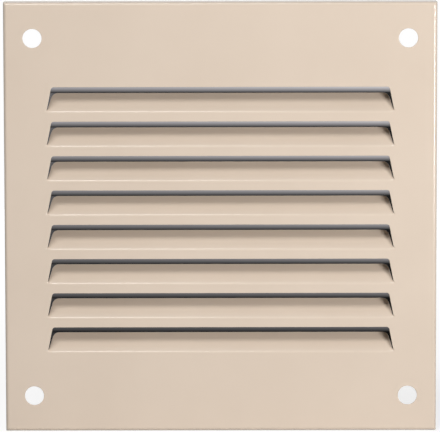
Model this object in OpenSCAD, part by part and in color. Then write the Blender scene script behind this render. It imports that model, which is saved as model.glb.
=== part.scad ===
/* [Plate] */
// Width of the plate
plate_w = 150; // [130:1:400]
// Height of the plate
plate_h = 150; // [130:1:400]
// Thickness of the steel sheet
sheet_t = 0.6; // [0.4:0.1:0.8]
// Overall depth, from the front face to the back edge of the rim
rim_depth = 7; // [4:0.5:25]
// Inside radius of the rim's folds
rim_fold_r = 0.6; // [0.3:0.1:2]
// Width of the open seam between two flanges of the rim at a corner
seam_gap = 0.4; // [0.2:0.1:1]

/* [Screw holes] */
// Diameter of the four screw holes
hole_d = 6.6; // [3:0.1:9]
// Distance from the side edges to the hole centres
hole_inset_x = 10; // [7:0.5:14]
// Distance from the top and bottom edges to the hole centres
hole_inset_z = 12.5; // [7:0.5:18]

/* [Louvres] */
// Number of louvres
louvre_count = 8; // [1:1:8]
// Distance from one louvre to the next
louvre_pitch = 12; // [10:0.5:13]
// Width of an opening along its top edge
opening_w = 117; // [40:1:120]
// Height of an opening, from the fold to its top edge
opening_h = 9.1; // [6:0.1:10]
// How much wider an opening is at each end of its fold
end_slant = 1.8; // [0:0.1:3]
// Radius of an opening's top corners
opening_corner_r = 1; // [0.5:0.1:2]
// How far the middle of the louvres lies below the middle of the plate
louvre_drop = 1; // [0:0.5:10]
// Angle by which a blade is bent back from the plate
blade_angle = 45; // [20:1:60]
// Inside radius of a blade's fold
blade_fold_r = 0.6; // [0.3:0.1:1.5]
// Gap that the cutting leaves along a blade's free edge
cut_gap = 0.4; // [0.2:0.1:0.8]
// Gap beside a blade's ends at its fold, where the cuts stop
fold_gap = 0.15; // [0.1:0.05:0.4]
// Radius of a blade's free corners
blade_corner_r = 1.8; // [0.5:0.1:3]

/* [Hidden] */
$fn = 64;
enamel = [0.85, 0.78, 0.71];
// How far a cutting tool runs past the sheet
run_out = 1;
// How far a corner's arc bulges past the straight edges that it joins
arc_overlap = 0.002;
// Where the bent layer keeps its length, as a share of the sheet from the inside
neutral_share = 0.4;
rim_outer_r = rim_fold_r + sheet_t;
blade_outer_r = blade_fold_r + sheet_t;
// Length of flat sheet that the blade's fold uses up
bend_length = (blade_fold_r + neutral_share * sheet_t) * blade_angle * PI / 180;
blade_length = opening_h - cut_gap - bend_length;
louvres_h = (louvre_count - 1) * louvre_pitch + opening_h;
lowest_fold_z = -louvres_h / 2 - louvre_drop;

// Half the width of an opening at a height above its fold
function opening_half_w(z) = opening_w / 2 + end_slant * (opening_h - z) / opening_h;

// Half the width that the cuts leave to a blade at a height above its fold
function blade_half_w(z) = opening_half_w(z) - fold_gap - (cut_gap - fold_gap) * z / opening_h;

// A strip that stands on y = 0, with straight sides that lean in and two round top corners
module round_topped_strip(base_half_w, top_half_w, height, corner_r) {
    lean = atan2(base_half_w - top_half_w, height);
    inset = corner_r - arc_overlap;
    centre_y = height - inset;
    centre_x = top_half_w + inset * tan(lean) - inset / cos(lean);
    foot_x = centre_x + inset * cos(lean);
    foot_y = centre_y + inset * sin(lean);
    polygon([
        [-base_half_w, 0],
        [base_half_w, 0],
        [foot_x, foot_y],
        [centre_x, height],
        [-centre_x, height],
        [-foot_x, foot_y]
    ]);
    for (side = [-1, 1])
        translate([side * centre_x, centre_y]) circle(corner_r);
}

// The hole that a louvre leaves in the plate, with its fold along y = 0
module opening_outline() {
    round_topped_strip(opening_half_w(0), opening_half_w(opening_h), opening_h, opening_corner_r);
}

// The flat part of a blade, from the end of its fold at y = 0 to its free edge
module blade_outline() {
    round_topped_strip(
        blade_half_w(bend_length),
        blade_half_w(opening_h - cut_gap),
        blade_length,
        blade_corner_r
    );
}

// Stands a flat outline upright, with the sheet's front face in the plane y = 0
module in_sheet(front = 0, back = sheet_t) {
    translate([0, back, 0])
        rotate([90, 0, 0])
            linear_extrude(back - front) children();
}

// Section across the plate, from the front at y = 0, with both front corners round
module pan_section(width, depth, corner_r) {
    union() {
        translate([-width / 2, corner_r]) square([width, depth - corner_r]);
        translate([-width / 2 + corner_r, 0]) square([width - 2 * corner_r, depth]);
        for (side = [-1, 1])
            translate([side * (width / 2 - corner_r), corner_r]) circle(corner_r);
    }
}

// A block with four round front edges that meet in mitres
module round_front_block(width, height, depth, corner_r) {
    intersection() {
        translate([0, 0, -height / 2])
            linear_extrude(height) pan_section(width, depth, corner_r);
        translate([-width / 2, 0, 0])
            rotate([90, 0, 90])
                linear_extrude(width) rotate(-90) mirror([1, 0]) pan_section(height, depth, corner_r);
    }
}

// The plate with its rim folded back on all four sides
module folded_pan() {
    difference() {
        round_front_block(plate_w, plate_h, rim_depth, rim_outer_r);
        translate([0, sheet_t, 0])
            round_front_block(plate_w - 2 * sheet_t, plate_h - 2 * sheet_t, rim_depth, rim_fold_r);
    }
}

// A blade with its fold, which starts in the plate's plane at z = 0
module blade() {
    half_w = blade_half_w(0);
    translate([0, blade_outer_r, 0]) {
        rotate([90, 0, -90])
            rotate_extrude(angle = blade_angle)
                translate([blade_fold_r, -half_w]) square([sheet_t, 2 * half_w]);
        rotate([-blade_angle, 0, 0])
            translate([0, -blade_outer_r, 0])
                in_sheet() blade_outline();
    }
}

// Places its children at the fold of each louvre
module at_folds() {
    for (i = [0 : louvre_count - 1])
        translate([0, 0, lowest_fold_z + i * louvre_pitch]) children();
}

module screw_holes() {
    for (side = [-1, 1], end = [-1, 1])
        translate([
            side * (plate_w / 2 - hole_inset_x),
            -run_out,
            end * (plate_h / 2 - hole_inset_z)
        ])
            rotate([-90, 0, 0]) cylinder(d = hole_d, h = sheet_t + 2 * run_out);
}

// The seams start where the rim's folds end, and run out at the back
module corner_seams() {
    seam_l = 4 * sheet_t;
    for (side = [-1, 1], end = [-1, 1])
        translate([side * plate_w / 2, rim_outer_r, end * plate_h / 2])
            rotate([0, -45 * side * end, 0])
                translate([-seam_l / 2, 0, -seam_gap / 2])
                    cube([seam_l, rim_depth, seam_gap]);
}

// One sheet of steel, cut, folded at its rim and bent at its louvres
module louvred_plate() {
    color(enamel)
        union() {
            difference() {
                folded_pan();
                at_folds() in_sheet(-run_out, sheet_t + run_out) opening_outline();
                screw_holes();
                corner_seams();
            }
            at_folds() blade();
        }
}

louvred_plate();
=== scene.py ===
"""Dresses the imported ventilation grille: enamelled sheet, lamps, floor and camera."""

import math

import bpy
import numpy as np
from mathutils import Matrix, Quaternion, Vector
from mathutils.geometry import delaunay_2d_cdt


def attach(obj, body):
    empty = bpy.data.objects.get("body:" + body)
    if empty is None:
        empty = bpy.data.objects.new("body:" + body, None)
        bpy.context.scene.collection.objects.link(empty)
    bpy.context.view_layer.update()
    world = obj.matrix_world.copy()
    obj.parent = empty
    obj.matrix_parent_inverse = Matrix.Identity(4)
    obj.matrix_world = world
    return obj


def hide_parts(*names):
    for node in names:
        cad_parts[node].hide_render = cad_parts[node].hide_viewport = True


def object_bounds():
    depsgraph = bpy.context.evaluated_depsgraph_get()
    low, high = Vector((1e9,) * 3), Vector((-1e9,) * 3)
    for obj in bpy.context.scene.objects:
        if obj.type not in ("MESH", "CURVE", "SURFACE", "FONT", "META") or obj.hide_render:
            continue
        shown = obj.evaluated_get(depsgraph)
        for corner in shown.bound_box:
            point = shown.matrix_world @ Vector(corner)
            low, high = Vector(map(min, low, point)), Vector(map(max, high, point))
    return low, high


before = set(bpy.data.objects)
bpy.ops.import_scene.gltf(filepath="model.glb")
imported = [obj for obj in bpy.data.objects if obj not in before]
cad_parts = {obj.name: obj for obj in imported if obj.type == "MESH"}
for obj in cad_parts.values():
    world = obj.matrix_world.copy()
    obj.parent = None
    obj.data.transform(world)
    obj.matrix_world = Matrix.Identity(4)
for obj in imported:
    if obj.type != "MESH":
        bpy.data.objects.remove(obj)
cad_low, cad_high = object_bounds()

SENSOR_WIDTH_MM = 36
IMAGE_WIDTH_PX = 440
MM = 0.001

# The photograph's viewpoint, fitted to the screw holes, slits and edges
CAMERA_DISTANCE = 1.6
CAMERA_ELEVATION = 7.5
CAMERA_AZIMUTH = 0.04
CAMERA_ROLL = -0.106
CAMERA_FOCAL_PX = 4612
CAMERA_TARGET = (-0.0002, 0, 0.0006)

# Sizes of the grille in millimetres, the same as in the part's source
HALF_SIZE = 75
DEPTH = 7
SHEET = 0.6
RIM_RADIUS = 1.2
SEAM_GAP = 0.4
HOLE_RADIUS = 3.3
HOLE_X, HOLE_Z = 65, 62.5
LOUVRE_COUNT = 8
LOUVRE_PITCH = 12
LOWEST_FOLD_Z = -47.55
OPENING_HALF_W = 58.5
OPENING_H = 9.1
END_SLANT = 1.8
OPENING_CORNER_R = 1
BLADE_ANGLE = math.radians(45)
BLADE_RADIUS = 1.2
BEND_LENGTH = 0.84 * BLADE_ANGLE
CUT_GAP = 0.4
FOLD_GAP = 0.15
BLADE_CORNER_R = 1.8

# Finish of the edges, and of the dimples where the cuts beside a blade end
EDGE_RADIUS = 0.13
CORNER_RADIUS = 0.25
CUT_END = 1.05
DIMPLE_HALF_W = 0.5
DIMPLE_SPREAD_IN = 3.0
DIMPLE_SPREAD_OUT = 0.5
DIMPLE_RISE = 0.8
# Places of the mesh rows and columns of a blade, in millimetres
ROWS_FOLD = (-0.4, -0.18, 0, 0.11, 0.22, 0.33, 0.44, 0.55, 0.66, 0.78, 0.9)
ROWS_CUT = (1.2, 1.35, 1.5, 1.8, 2.2)
ROWS_BLADE = (3.0, 4.2, 5.4, 6.4)
COLUMNS_OUT = (2.4, 1.9, 1.5, 1.2, 0.95, 0.7, 0.45, 0.22)
COLUMNS_IN = (0.3, 0.5, 0.75, 1.0, 1.3, 1.6, 2.0, 2.4, 2.9, 3.4, 4.0, 5.0)
COLUMNS_MIDDLE = (50.0, 38.0, 25.0, 12.0, 0.0, -12.0, -25.0, -38.0, -50.0)

# The glowing sheet behind the slits, whose glow is painted light and shade, in metres: its height in
# the lowest slit's foot, the distance between slits as the camera sees them on it, and a slit's share
# of that
WALL_Y = 0.0085
WALL_HALF_W, WALL_LOW, WALL_HIGH = 0.0615, -0.049, 0.0455
WALL_FOOT_Z = -0.04149
WALL_PITCH = 0.01202
WALL_SLIT_SHARE = 0.16
FLOOR_Z = cad_low.z - 0.0002
FLOOR_HALF_W = 0.6

ENAMEL_DEEP = (0.655, 0.541, 0.438, 1)
ENAMEL_PALE = (0.68, 0.565, 0.46, 1)
ENAMEL_WORN = (0.6, 0.53, 0.45, 1)


# ---------------------------------------------------------------- sheet metal


def unit(v):
    return v / np.maximum(np.linalg.norm(v, axis=-1, keepdims=True), 1e-12)


def smoothstep(x):
    x = np.clip(x, 0, 1)
    return x * x * (3 - 2 * x)


class Sheet:
    """Points in millimetres with their normals, and faces turned to match them."""

    def __init__(self):
        self.points, self.normals, self.edges, self.faces = [], [], [], []
        self.flat = {}

    def add(self, points, normals, edge=0.0):
        first = len(self.points)
        self.points.extend(points)
        self.normals.extend(normals)
        self.edges.extend([edge] * len(points))
        return list(range(first, len(self.points)))

    def strip(self, a, b, closed=False):
        for i in range(len(a) if closed else len(a) - 1):
            j = (i + 1) % len(a)
            self.faces.append([a[i], a[j], b[j], b[i]])

    def flat_face(self, corners, normal):
        self.flat[len(self.faces)] = np.array(normal, float)
        self.faces.append(list(corners))

    def rounded_edge(self, front, back, front_normals, back_normals, out):
        """A closed loop of cut edge with both its corners rounded.
        Returns the points where the front and the back surface end."""
        through = unit(back - front)
        out = unit(out - through * np.sum(out * through, axis=1, keepdims=True))
        r = EDGE_RADIUS
        cut = r * (1 - math.sqrt(0.5))
        rows = [
            self.add(front - r * out, front_normals),
            self.add(front + cut * (through - out), unit(out + front_normals), 1.0),
            self.add(front + r * through, out, 1.0),
            self.add(back - r * through, out, 1.0),
            self.add(back - cut * (through + out), unit(out + back_normals), 1.0),
            self.add(back - r * out, back_normals),
        ]
        for a, b in zip(rows, rows[1:]):
            self.strip(a, b, closed=True)
        return rows[0], rows[-1]

    def build(self, name, material):
        points, normals = np.array(self.points), np.array(self.normals)
        faces, corner_normals = [], []
        for i, face in enumerate(self.faces):
            p = points[face]
            area = np.cross(p[1:-1] - p[0], p[2:] - p[0]).sum(0)
            wanted = self.flat.get(i, normals[face].sum(0))
            if area @ wanted < 0:
                face = face[::-1]
            faces.append(face)
            corner_normals.extend([wanted] * len(face) if i in self.flat else normals[face])
        mesh = bpy.data.meshes.new(name)
        mesh.from_pydata((points * MM).tolist(), [], faces)
        mesh.polygons.foreach_set("use_smooth", [True] * len(faces))
        mesh.normals_split_custom_set([Vector(n).normalized() for n in corner_normals])
        edge = mesh.attributes.new("edge", "FLOAT", "POINT")
        edge.data.foreach_set("value", self.edges)
        mesh.materials.append(material)
        mesh.update()
        obj = bpy.data.objects.new(name, mesh)
        bpy.context.scene.collection.objects.link(obj)
        return obj


def border(v):
    """Half width of an opening at height v above its fold."""
    return OPENING_HALF_W + END_SLANT * (OPENING_H - v) / OPENING_H


def blade_end(v):
    """Half width of a blade at height v, which leaves the cut beside it open."""
    widest = (CUT_GAP - FOLD_GAP) * (v - CUT_END) / (OPENING_H - CUT_END)
    return border(v) - FOLD_GAP * smoothstep((v - CUT_END) / 0.8) - np.maximum(widest, 0)


def bent_share(t, v, side):
    """How far the sheet follows the blade: 0 on the plate, 1 on the blade.
    t is the distance inside the opening's border, v the height above the fold."""
    below = np.maximum(CUT_END - v, 0)
    above = np.maximum(v - CUT_END, 0)
    outer = DIMPLE_HALF_W + DIMPLE_SPREAD_OUT * below
    inner = DIMPLE_HALF_W + DIMPLE_SPREAD_IN * below
    t = np.where(side < 0, np.minimum(t, 0), t)
    return smoothstep((t + outer) / (outer + inner) + side * above / DIMPLE_RISE)


def sheet_point(x, v, side, back):
    """A point of the sheet's front or back from its place in the flat blank."""
    radius = BLADE_RADIUS - SHEET * back
    angle = np.clip(v / BEND_LENGTH, 0, 1) * BLADE_ANGLE
    beyond = np.maximum(v - BEND_LENGTH, 0)
    depth = BLADE_RADIUS - radius * np.cos(angle) + beyond * math.sin(BLADE_ANGLE)
    height = radius * np.sin(angle) + beyond * math.cos(BLADE_ANGLE)
    height = np.where(v < 0, v, height)
    share = bent_share(border(v) - np.abs(x), v, side)
    flat = SHEET * back
    return np.stack([x, flat + share * (depth - flat), v + share * (height - v)], axis=-1)


def sheet_slopes(x, v, side, back):
    step = 0.01
    along_x = sheet_point(x + step, v, side, back) - sheet_point(x - step, v, side, back)
    along_v = sheet_point(x, v + step, side, back) - sheet_point(x, v - step, side, back)
    return along_x, along_v


def sheet_normal(x, v, side, back):
    along_x, along_v = sheet_slopes(x, v, side, back)
    return unit(np.cross(along_x, along_v)) * (1 - 2 * back)


def opening_top():
    """The opening's border above the dimples, from the right to the left."""
    r = OPENING_CORNER_R
    slope = math.atan2(END_SLANT, OPENING_H)
    reach = r * math.tan((math.pi / 2 - slope) / 2)
    centre = (OPENING_HALF_W - reach, OPENING_H - r)
    angles = np.linspace(slope, math.pi / 2, 7)
    arc = [(centre[0] + r * math.cos(a), centre[1] + r * math.sin(a)) for a in angles]
    right = [(border(v), v) for v in (4.0, 6.0)] + arc + [(40.0, OPENING_H), (20.0, OPENING_H)]
    return right + [(0.0, OPENING_H)] + [(-x, v) for x, v in reversed(right)]


def blade_top(inside):
    """Height of a blade's free edge at a distance inside its end."""
    rest = np.clip(BLADE_CORNER_R - inside, 0, BLADE_CORNER_R)
    return OPENING_H - CUT_GAP - BLADE_CORNER_R + math.sqrt(BLADE_CORNER_R**2 - rest**2)


def add_louvre(sheet, fold_z):
    """Adds a blade with its fold, dimples and cut edge to the sheet.
    Returns the outline of the flat plate round it, on the front and on the back."""
    shift = np.array([0, 0, fold_z])

    def place(x, v, side, back):
        x, v = np.broadcast_arrays(np.asarray(x, float), np.asarray(v, float))
        return sheet_point(x, v, side, back) + shift, sheet_normal(x, v, side, back)

    # The free edge: up the right of the opening, over its top, down its left,
    # then up the left of the blade, over its top and down its right
    up = list(ROWS_CUT)
    tall = up + list(ROWS_BLADE)
    ends = [0.0] + list(COLUMNS_IN)
    top_right = [(blade_end(blade_top(t)) - t, blade_top(t)) for t in ends]
    top = [(x, OPENING_H - CUT_GAP) for x in reversed(COLUMNS_MIDDLE)]
    top = [(-x, v) for x, v in top_right] + top + top_right[::-1]
    loop = [(border(CUT_END), CUT_END, 0)]
    loop += [(border(v), v, -1) for v in up]
    loop += [(x, v, -1) for x, v in opening_top()]
    loop += [(-border(v), v, -1) for v in reversed(up)]
    left_tip = len(loop)
    loop += [(-border(CUT_END), CUT_END, 0)]
    loop += [(-blade_end(v), v, 1) for v in tall]
    loop += [(x, v, 1) for x, v in top]
    loop += [(blade_end(v), v, 1) for v in reversed(tall)]
    x, v, side = np.array(loop).T
    front, front_normals = place(x, v, side, 0)
    back, back_normals = place(x, v, side, 1)
    tangent = np.roll(front, -1, 0) - np.roll(front, 1, 0)
    out = unit(np.cross(tangent, back - front))
    for tip in (0, left_tip):
        out[tip] = unit(sheet_slopes(x[tip], v[tip], 0, 0)[1])
    edge_rows = sheet.rounded_edge(front, back, front_normals, back_normals, out)

    outlines = []
    for back_side, edge in enumerate(edge_rows):
        plate_right = edge[1 : 1 + len(up)]
        plate_top = edge[1 + len(up) : left_tip - len(up)]
        plate_left = edge[left_tip - len(up) : left_tip][::-1]
        blade = edge[left_tip + 1 :]
        blade_left, blade_right = blade[: len(tall)], blade[-len(tall) :][::-1]
        blade_upper = blade[len(tall) : -len(tall)]

        columns_out = np.array(COLUMNS_OUT)
        columns_in = np.array(COLUMNS_IN)
        middle = np.array(COLUMNS_MIDDLE[::-1])

        def between(end, v):
            """x of the points between the ends of a row, from the left."""
            right = end - columns_in
            return np.concatenate([-right, middle, right[::-1]])

        rows = []
        for v in ROWS_FOLD + (CUT_END,):
            half = np.concatenate([border(v) + columns_out, [border(v)]])
            x = np.concatenate([-half, between(border(v), v), half[::-1]])
            rows.append(sheet.add(*place(x, v, 0, back_side)))
        n_out = len(COLUMNS_OUT)
        rows[-1][n_out] = edge[left_tip]
        rows[-1][-1 - n_out] = edge[0]
        for a, b in zip(rows, rows[1:]):
            sheet.strip(a, b)

        last = rows[-1][n_out : len(rows[-1]) - n_out]
        for i, v in enumerate(tall):
            inner = sheet.add(*place(between(blade_end(v), v), v, 1, back_side))
            row = [blade_left[i]] + inner + [blade_right[i]]
            sheet.strip(last, row)
            last = row
        sheet.strip(last, blade_upper)

        left, right = [], []
        last_left, last_right = rows[-1][: n_out + 1], rows[-1][-1 - n_out :]
        for i, v in enumerate(up):
            x = border(v) + columns_out
            row_left = sheet.add(*place(-x, v, -1, back_side)) + [plate_left[i]]
            row_right = [plate_right[i]] + sheet.add(*place(x[::-1], v, -1, back_side))
            sheet.strip(last_left, row_left)
            sheet.strip(last_right, row_right)
            last_left, last_right = row_left, row_right
            left.append(row_left[0])
            right.append(row_right[-1])
        outline = rows[0] + [row[-1] for row in rows[1:]] + right[:-1] + last_right[::-1]
        outline += plate_top + last_left[::-1] + left[:-1][::-1]
        outline += [row[0] for row in rows[:0:-1]]
        outlines.append(outline)
    return outlines


def add_screw_hole(sheet, x, z):
    turn = np.linspace(0, 2 * math.pi, 64, endpoint=False)
    spoke = np.stack([np.cos(turn), 0 * turn, np.sin(turn)], axis=1)
    front = np.array([x, 0, z]) + HOLE_RADIUS * spoke
    back = front + np.array([0, SHEET, 0])
    facing = np.tile([0.0, -1.0, 0.0], (len(turn), 1))
    return sheet.rounded_edge(front, back, facing, -facing, -spoke)


def rim_ring(inset, depth, normal_out, normal_y):
    """Points and normals once round the rim, corner by corner. Each corner has its
    two seam points first and last, and the points of its small arc between them."""
    half = HALF_SIZE - inset
    seam = SEAM_GAP / math.sqrt(2)
    arc = np.linspace(0, math.pi / 2, 5)
    reach = half - CORNER_RADIUS
    x = [half] + [reach + CORNER_RADIUS * math.cos(a) for a in arc] + [half - seam]
    z = [half - seam] + [reach + CORNER_RADIUS * math.sin(a) for a in arc] + [half]
    nx = [1.0] + [math.cos(a) for a in arc] + [0.0]
    nz = [0.0] + [math.sin(a) for a in arc] + [1.0]
    points, normals = [], []
    for turn in range(4):
        c, s = (1, 0, -1, 0)[turn], (0, 1, 0, -1)[turn]
        for px, pz, mx, mz in zip(x, z, nx, nz):
            points.append((px * c - pz * s, depth, px * s + pz * c))
            flat_x, flat_z = mx * c - mz * s, mx * s + mz * c
            normals.append((flat_x * normal_out, normal_y, flat_z * normal_out))
    return np.array(points), np.array(normals)


def add_rim(sheet):
    """Adds the folded rim. Returns the rings where the flat plate begins."""
    steps = np.linspace(0, math.pi / 2, 8)
    inner = RIM_RADIUS - SHEET
    outer_arc = [
        (RIM_RADIUS * (1 - math.sin(a)), RIM_RADIUS * (1 - math.cos(a)), math.sin(a), -math.cos(a))
        for a in steps
    ]
    inner_arc = [
        (RIM_RADIUS - inner * math.sin(a), RIM_RADIUS - inner * math.cos(a), -math.sin(a), math.cos(a))
        for a in steps[::-1]
    ]
    r, s = EDGE_RADIUS, math.sqrt(0.5)
    cut = r * (1 - s)
    back_edge = [
        (0, DEPTH - r, 1, 0, 0),
        (cut, DEPTH - cut, s, s, 1),
        (r, DEPTH, 0, 1, 1),
        (SHEET - r, DEPTH, 0, 1, 1),
        (SHEET - cut, DEPTH - cut, -s, s, 1),
        (SHEET, DEPTH - r, -1, 0, 0),
    ]
    outer_rings = [sheet.add(*rim_ring(*row)) for row in outer_arc]
    inner_rings = [sheet.add(*rim_ring(*row)) for row in inner_arc]
    for rings in (outer_rings, inner_rings):
        for a, b in zip(rings, rings[1:]):
            sheet.strip(a, b, closed=True)

    corner = len(outer_rings[0]) // 4
    flange = [outer_rings[-1]]
    for inset, depth, normal_out, normal_y, edge in back_edge:
        flange.append(sheet.add(*rim_ring(inset, depth, normal_out, normal_y), edge))
    flange.append(inner_rings[0])
    for turn in range(4):
        start, end = turn * corner + corner - 1, (turn + 1) % 4 * corner
        for a, b in zip(flange, flange[1:]):
            sheet.faces.append([a[start], a[end], b[end], b[start]])
        points = np.array(sheet.points)
        for seam, other in ((start, turn * corner), (end, (turn + 1) % 4 * corner + corner - 1)):
            towards = points[flange[0][other]] - points[flange[0][seam]]
            sheet.flat_face([ring[seam] for ring in flange], unit(towards))
        a = outer_rings[-1][turn * corner : (turn + 1) * corner]
        b = inner_rings[0][turn * corner : (turn + 1) * corner]
        for i in range(corner - 1):
            sheet.flat_face([a[i], a[i + 1], b[i + 1], b[i]], (0, 1, 0))
    return outer_rings[0], inner_rings[-1]


def inside_polygon(points, polygon):
    x, z = points[:, :1], points[:, 1:]
    x1, z1 = polygon[:, 0], polygon[:, 1]
    x2, z2 = np.roll(x1, -1), np.roll(z1, -1)
    crosses = (z1 > z) != (z2 > z)
    slope = (x2 - x1) / np.where(z2 == z1, 1e-9, z2 - z1)
    return np.sum(crosses & (x < x1 + (z - z1) * slope), axis=1) % 2 == 1


def add_flat_plate(sheet, outer, holes):
    """Fills the flat between the rim, the louvres and the screw holes, on both sides."""
    loops = [outer] + holes
    front = sum([list(loop[0]) for loop in loops], [])
    back = sum([list(loop[1]) for loop in loops], [])
    places = np.array(sheet.points)[front][:, (0, 2)]
    edges, polygons, first = [], [], 0
    for loop in loops:
        n = len(loop[0])
        edges += [(first + i, first + (i + 1) % n) for i in range(n)]
        polygons.append(places[first : first + n])
        first += n
    found = delaunay_2d_cdt([Vector(p) for p in places], edges, [], 0, 1e-7)
    origin = [source[0] for source in found[3]]
    triangles = np.array([[origin[i] for i in face] for face in found[2]])
    centres = places[triangles].mean(axis=1)
    keep = inside_polygon(centres, polygons[0])
    for polygon in polygons[1:]:
        keep &= ~inside_polygon(centres, polygon)
    for triangle in triangles[keep]:
        sheet.faces.append([front[i] for i in triangle])
        sheet.faces.append([back[i] for i in triangle])


def build_grille(material):
    sheet = Sheet()
    rim = add_rim(sheet)
    holes = [add_louvre(sheet, LOWEST_FOLD_Z + k * LOUVRE_PITCH) for k in range(LOUVRE_COUNT)]
    for x in (-HOLE_X, HOLE_X):
        for z in (-HOLE_Z, HOLE_Z):
            holes.append(add_screw_hole(sheet, x, z))
    add_flat_plate(sheet, rim, holes)
    used = sorted({i for face in sheet.faces for i in face})
    number = {old: new for new, old in enumerate(used)}
    sheet.points = [sheet.points[i] for i in used]
    sheet.normals = [sheet.normals[i] for i in used]
    sheet.edges = [sheet.edges[i] for i in used]
    sheet.faces = [[number[i] for i in face] for face in sheet.faces]
    return sheet.build("enamelled_grille", material)


# ------------------------------------------------------------------- studio


def direction(azimuth, elevation):
    """Unit vector towards a lamp or camera: azimuth to the right, from the front."""
    a, e = math.radians(azimuth), math.radians(elevation)
    return Vector((math.sin(a) * math.cos(e), -math.cos(a) * math.cos(e), math.sin(e)))


def add_camera():
    data = bpy.data.cameras.new("camera")
    data.sensor_width = SENSOR_WIDTH_MM
    data.lens = CAMERA_FOCAL_PX * SENSOR_WIDTH_MM / IMAGE_WIDTH_PX
    data.clip_start, data.clip_end = 0.01, 20
    camera = bpy.data.objects.new("camera", data)
    back = direction(CAMERA_AZIMUTH, CAMERA_ELEVATION)
    camera.location = Vector(CAMERA_TARGET) + back * CAMERA_DISTANCE
    camera.rotation_mode = "QUATERNION"
    roll = Quaternion((0, 0, 1), math.radians(CAMERA_ROLL))
    camera.rotation_quaternion = (-back).to_track_quat("-Z", "Y") @ roll
    bpy.context.scene.collection.objects.link(camera)
    bpy.context.scene.camera = camera


def add_softbox(name, azimuth, elevation, distance, width, height, power):
    data = bpy.data.lights.new(name, "AREA")
    data.shape = "RECTANGLE"
    data.size, data.size_y = width, height
    data.energy = power
    lamp = bpy.data.objects.new(name, data)
    towards = direction(azimuth, elevation)
    lamp.location = towards * distance
    lamp.rotation_mode = "QUATERNION"
    lamp.rotation_quaternion = towards.to_track_quat("Z", "Y")
    bpy.context.scene.collection.objects.link(lamp)


def nodes_of(data):
    data.use_nodes = True
    data.node_tree.nodes.clear()
    return data.node_tree.nodes, data.node_tree.links


def math_node(nodes, links, operation, *values):
    node = nodes.new("ShaderNodeMath")
    node.operation = operation
    for socket, value in zip(node.inputs, values):
        if isinstance(value, (int, float)):
            socket.default_value = value
        else:
            links.new(value, socket)
    return node.outputs[0]


def ramp(nodes, links, value, from_low, from_high, to_low, to_high):
    node = nodes.new("ShaderNodeMapRange")
    for socket, end in zip(node.inputs[1:5], (from_low, from_high, to_low, to_high)):
        if isinstance(end, (int, float)):
            socket.default_value = end
        else:
            links.new(end, socket)
    links.new(value, node.inputs[0])
    return node.outputs[0]


def colour_mix(nodes, links, share, first, second):
    node = nodes.new("ShaderNodeMix")
    node.data_type = "RGBA"
    links.new(share, node.inputs[0])
    for socket, colour in ((node.inputs[6], first), (node.inputs[7], second)):
        if isinstance(colour, tuple):
            socket.default_value = colour
        else:
            links.new(colour, socket)
    return node.outputs[2]


def enamel():
    """Semi-gloss enamel: colour and gloss a little uneven, with fine orange peel,
    and a thinner, duller coat on the cut edges."""
    material = bpy.data.materials.new("beige_enamel")
    nodes, links = nodes_of(material)
    place = nodes.new("ShaderNodeTexCoord").outputs["Object"]

    def noise(scale, detail):
        node = nodes.new("ShaderNodeTexNoise")
        node.inputs["Scale"].default_value = scale
        node.inputs["Detail"].default_value = detail
        links.new(place, node.inputs["Vector"])
        return node.outputs["Fac"]

    attribute = nodes.new("ShaderNodeAttribute")
    attribute.attribute_name = "edge"
    chips = ramp(nodes, links, noise(1500, 3), 0.4, 0.6, 0.2, 1)
    worn = math_node(nodes, links, "MULTIPLY", attribute.outputs["Fac"], chips)
    clouds = ramp(nodes, links, noise(30, 3), 0.3, 0.7, 0, 1)
    coat = colour_mix(nodes, links, clouds, ENAMEL_DEEP, ENAMEL_PALE)
    thin = math_node(nodes, links, "MULTIPLY", worn, 0.4)
    colour = colour_mix(nodes, links, thin, coat, ENAMEL_WORN)
    gloss = ramp(nodes, links, noise(160, 4), 0.3, 0.7, 0.13, 0.19)
    roughness = math_node(nodes, links, "MULTIPLY_ADD", worn, 0.2, gloss)
    bump = nodes.new("ShaderNodeBump")
    bump.inputs["Strength"].default_value = 0.2
    bump.inputs["Distance"].default_value = 0.00002
    links.new(noise(480, 2), bump.inputs["Height"])

    shader = nodes.new("ShaderNodeBsdfPrincipled")
    links.new(colour, shader.inputs["Base Color"])
    links.new(roughness, shader.inputs["Roughness"])
    links.new(bump.outputs[0], shader.inputs["Normal"])
    out = nodes.new("ShaderNodeOutputMaterial")
    links.new(shader.outputs[0], out.inputs[0])
    return material


def stage_object(name, corners, material):
    mesh = bpy.data.meshes.new(name)
    mesh.from_pydata(corners, [], [tuple(range(len(corners)))])
    mesh.materials.append(material)
    obj = bpy.data.objects.new(name, mesh)
    bpy.context.scene.collection.objects.link(obj)
    return obj


def seen_directly(nodes, links):
    """1 for what the camera sees, straight or through a reflection or glass."""
    path = nodes.new("ShaderNodeLightPath")
    mirrored = math_node(
        nodes,
        links,
        "MAXIMUM",
        path.outputs["Is Glossy Ray"],
        path.outputs["Is Transmission Ray"],
    )
    return math_node(nodes, links, "MAXIMUM", path.outputs["Is Camera Ray"], mirrored)


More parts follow.
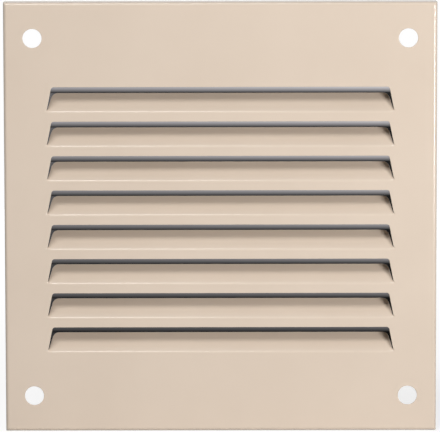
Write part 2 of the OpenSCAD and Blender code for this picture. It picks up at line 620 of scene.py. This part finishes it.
def painted_shade_wall_material():
    """A glowing sheet behind the slits, its glow painted light and shade in place of a lit wall:
    darker to the left, towards the foot of the grille and towards the foot of each slit where the
    blade shades it. Clear from behind."""
    material = bpy.data.materials.new("painted_shade_wall")
    nodes, links = nodes_of(material)
    place = nodes.new("ShaderNodeSeparateXYZ")
    links.new(nodes.new("ShaderNodeTexCoord").outputs["Object"], place.inputs[0])
    x, z = place.outputs["X"], place.outputs["Z"]
    rise = math_node(nodes, links, "SUBTRACT", z, WALL_FOOT_Z)
    slits = math_node(nodes, links, "DIVIDE", rise, WALL_PITCH)
    height = math_node(nodes, links, "FRACT", slits)
    # painted shade: the glow is nil at the foot of each slit, where the blade's top shades the wall,
    # and rises towards the slit's top
    in_slit = ramp(nodes, links, height, 0, WALL_SLIT_SHARE, 0, 1.7)
    # painted shade: behind the blades, outside each slit band, the glow drops, most of all to the
    # right
    beside = ramp(nodes, links, x, -0.055, 0.055, 0.35, 0.03)
    between = ramp(nodes, links, height, WALL_SLIT_SHARE + 0.03, WALL_SLIT_SHARE + 0.05, 1, beside)
    # painted light and shade: the glow is dimmer towards the lower rows and to the left
    by_row = ramp(nodes, links, z, -0.041, 0.044, 0.08, 0.3)
    by_side = ramp(nodes, links, x, -0.055, 0.055, 0.75, 1.12)
    strength = math_node(nodes, links, "MULTIPLY", in_slit, by_row)
    strength = math_node(nodes, links, "MULTIPLY", strength, by_side)
    strength = math_node(nodes, links, "MULTIPLY", strength, between)
    # the sheet glows though it is no lamp: painted light standing in for a lit wall
    glow = nodes.new("ShaderNodeEmission")
    glow.inputs[0].default_value = (1, 0.97, 1, 1)
    links.new(strength, glow.inputs[1])
    clear = nodes.new("ShaderNodeBsdfTransparent")
    mix = nodes.new("ShaderNodeMixShader")
    links.new(nodes.new("ShaderNodeNewGeometry").outputs["Backfacing"], mix.inputs[0])
    links.new(glow.outputs[0], mix.inputs[1])
    links.new(clear.outputs[0], mix.inputs[2])
    out = nodes.new("ShaderNodeOutputMaterial")
    links.new(mix.outputs[0], out.inputs[0])
    return material


def floor_material():
    """A pale floor that reads nearly white, keeps a soft shadow, and throws light up."""
    material = bpy.data.materials.new("pale_floor")
    nodes, links = nodes_of(material)
    bounce = nodes.new("ShaderNodeBsdfDiffuse")
    bounce.inputs[0].default_value = (0.48, 0.48, 0.48, 1)
    shaded = nodes.new("ShaderNodeBsdfDiffuse")
    shaded.inputs[0].default_value = (0.28, 0.28, 0.28, 1)
    reach = nodes.new("ShaderNodeVectorMath")
    reach.operation = "LENGTH"
    links.new(nodes.new("ShaderNodeTexCoord").outputs["Object"], reach.inputs[0])
    glow = nodes.new("ShaderNodeEmission")
    strength = ramp(nodes, links, reach.outputs["Value"], 0.15, FLOOR_HALF_W, 0.82, 1)
    links.new(strength, glow.inputs[1])
    look = nodes.new("ShaderNodeAddShader")
    links.new(shaded.outputs[0], look.inputs[0])
    links.new(glow.outputs[0], look.inputs[1])
    mix = nodes.new("ShaderNodeMixShader")
    links.new(seen_directly(nodes, links), mix.inputs[0])
    links.new(bounce.outputs[0], mix.inputs[1])
    links.new(look.outputs[0], mix.inputs[2])
    out = nodes.new("ShaderNodeOutputMaterial")
    links.new(mix.outputs[0], out.inputs[0])
    return material


def add_stage():
    x, low, high = WALL_HALF_W, WALL_LOW, WALL_HIGH
    # the sheet behind the slits glows with painted light and shade, and casts and reflects nothing
    wall = stage_object(
        "painted_shade_wall",
        [(-x, WALL_Y, low), (x, WALL_Y, low), (x, WALL_Y, high), (-x, WALL_Y, high)],
        painted_shade_wall_material(),
    )
    wall.visible_shadow = False
    wall.visible_diffuse = False
    wall.visible_glossy = False
    r = FLOOR_HALF_W
    stage_object(
        "pale_floor",
        [(-r, -r, FLOOR_Z), (r, -r, FLOOR_Z), (r, r, FLOOR_Z), (-r, r, FLOOR_Z)],
        floor_material(),
    )


def set_world():
    world = bpy.data.worlds.new("studio")
    bpy.context.scene.world = world
    nodes, links = nodes_of(world)
    ambient = nodes.new("ShaderNodeBackground")
    ambient.inputs[0].default_value = (1, 1, 1, 1)
    ambient.inputs[1].default_value = 0.02
    white = nodes.new("ShaderNodeBackground")
    white.inputs[0].default_value = (1, 1, 1, 1)
    mix = nodes.new("ShaderNodeMixShader")
    links.new(seen_directly(nodes, links), mix.inputs[0])
    links.new(ambient.outputs[0], mix.inputs[1])
    links.new(white.outputs[0], mix.inputs[2])
    out = nodes.new("ShaderNodeOutputWorld")
    links.new(mix.outputs[0], out.inputs[0])


grille = build_grille(enamel())
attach(grille, "root")
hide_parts("louvred_plate")

add_camera()
add_stage()
set_world()
add_softbox("right_softbox", 34.5, 1.5, 0.8, 0.26, 0.24, 5.1)
add_softbox("left_softbox", -26, 54, 1.5, 0.83, 0.5, 13.2)

scene = bpy.context.scene
scene.view_settings.view_transform = "Standard"
